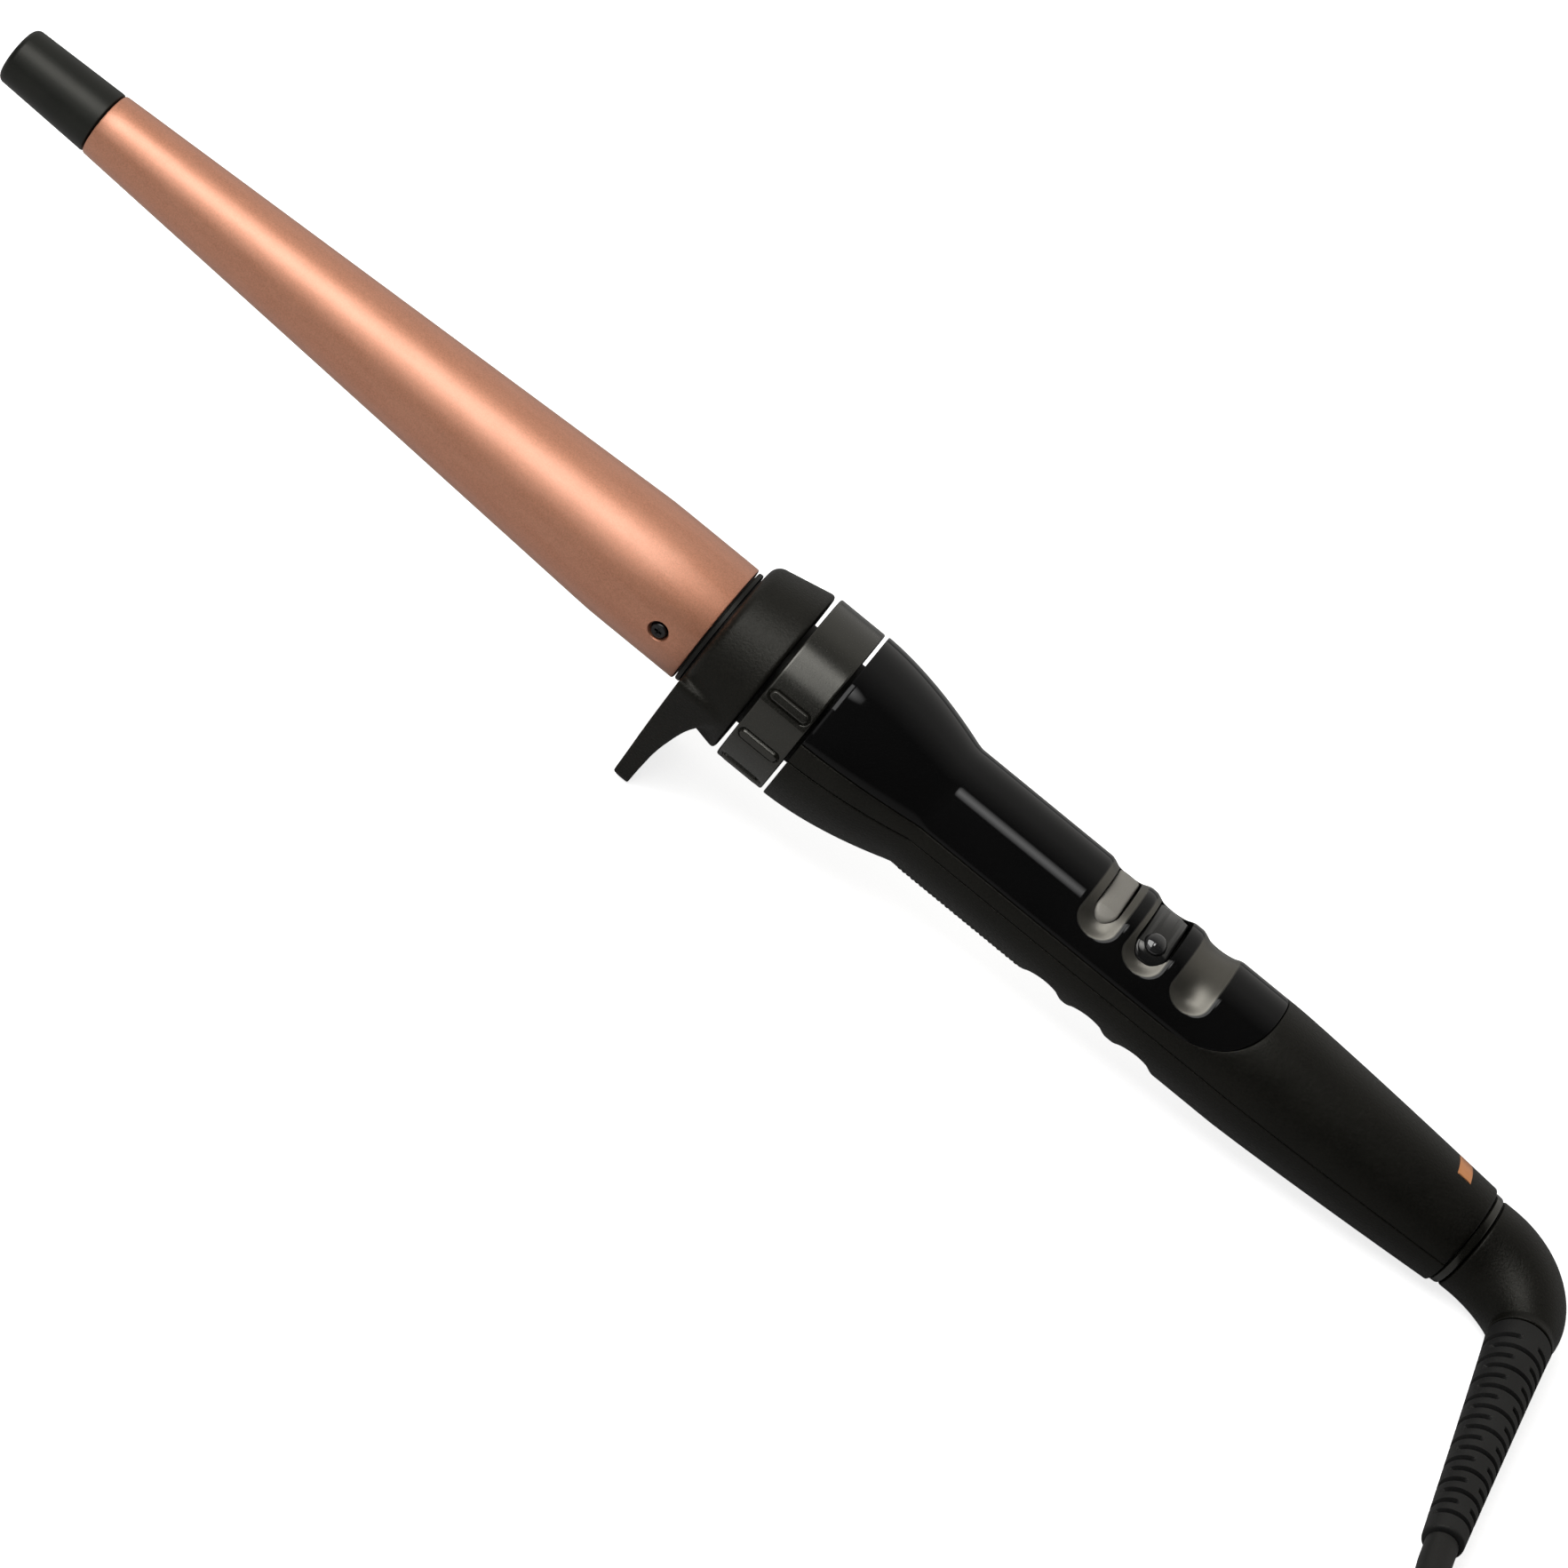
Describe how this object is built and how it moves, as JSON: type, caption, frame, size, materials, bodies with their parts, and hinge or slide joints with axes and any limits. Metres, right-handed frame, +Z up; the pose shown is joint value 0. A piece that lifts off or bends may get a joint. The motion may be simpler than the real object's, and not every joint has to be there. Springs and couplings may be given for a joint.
{
  "type": "curling wand",
  "caption": "Clip-free curling wand: tapered heated barrel, cool tip, collar with stand foot, turning dial, grooved handle with push buttons, swivel outlet and mains lead.",
  "frame": {"origin": "middle of the flat end of the stand foot, on the table that the wand stands on", "axes": "+X from the cool tip towards the cord end, along the table; +Z up, through the buttons; -Y towards the side that the cord leaves"},
  "size_m": [0.5126, 0.1259, 0.0619],
  "materials": {
    "barrel_coating": "satin rose-gold ceramic coating with a fine metallic fleck",
    "black_satin": "satin black moulded plastic",
    "black_matte": "matte black plastic with a fine spark-eroded texture",
    "black_gloss": "polished black plastic",
    "black_rubber": "matte black flexible rubber",
    "grey_satin": "satin warm grey plastic",
    "smoked_lens": "clear smoked indicator lens",
    "insulator": "dark glossy heat-proof resin",
    "steel": "spring steel",
    "black_steel": "blackened steel screw",
    "aluminium": "bare extruded aluminium",
    "brass": "bare brass",
    "ceramic": "white technical ceramic",
    "board_green": "green circuit board lacquer",
    "white_plastic": "white plastic",
    "red_wire": "red wire insulation",
    "blue_wire": "blue wire insulation"
  },
  "bodies": {
    "handle": {"barrel": "barrel_coating", "barrel_carrier": "insulator", "barrel_screw_far": "black_steel", "barrel_screw_near": "black_steel", "collar_stand": "black_matte", "contact_blade_live": "brass", "contact_blade_neutral": "brass", "control_board": "board_green", "cool_tip": "black_satin", "cord_coil": "black_rubber", "dial_track": "board_green", "handle_lower_shell": "black_matte", "handle_screw_front": "black_steel", "handle_screw_rear": "black_steel", "handle_upper_shell": "black_matte", "heat_spreader_lower": "aluminium", "heat_spreader_upper": "aluminium", "heater_plate": "ceramic", "heater_thrust_spring": "steel", "heater_wire_live": "red_wire", "heater_wire_neutral": "blue_wire", "indicator_lamp": "white_plastic", "mains_plug": "black_satin", "mains_wire_live": "red_wire", "mains_wire_neutral": "blue_wire", "plug_cord": "black_rubber", "plug_pin_far": "brass", "plug_pin_near": "brass", "power_cord": "black_rubber", "power_key_switch": "black_satin", "power_triac": "black_satin", "smoothing_capacitor": "aluminium", "spark_filter": "white_plastic", "swivel_bush": "black_satin", "temperature_key_switch": "black_satin", "temperature_sensor": "ceramic", "thermal_fuse": "brass", "top_panel": "black_gloss"},
    "dial": {"temperature_dial": "black_satin", "dial_wiper": "brass"},
    "swivel": {"swivel_elbow": "black_matte", "strain_relief": "black_rubber", "inner_cord": "black_rubber", "contact_pin": "brass"},
    "temperature_key": {"temperature_button": "grey_satin"},
    "power_key": {"power_button": "black_gloss", "power_light_lens": "smoked_lens"}
  },
  "joints": [
    {"name": "dial_turn", "type": "hinge", "parent": "handle", "child": "dial", "pos_m": [0.0195, 0, 0.03145], "axis": [0.9907, 0, -0.1357], "range_deg": [-135, 135]},
    {"name": "cord_swivel", "type": "hinge", "parent": "handle", "child": "swivel", "pos_m": [0.17262, 0, 0.01047], "axis": [0.9907, 0, -0.1357], "continuous": true},
    {"name": "temperature_press", "type": "slide", "parent": "handle", "child": "temperature_key", "axis": [-0.1357, 0, -0.9907], "range_m": [0, 0.0006], "stiffness_N_per_m": 800},
    {"name": "power_press", "type": "slide", "parent": "handle", "child": "power_key", "axis": [-0.1357, 0, -0.9907], "range_m": [0, 0.0006], "stiffness_N_per_m": 800}
  ]
}
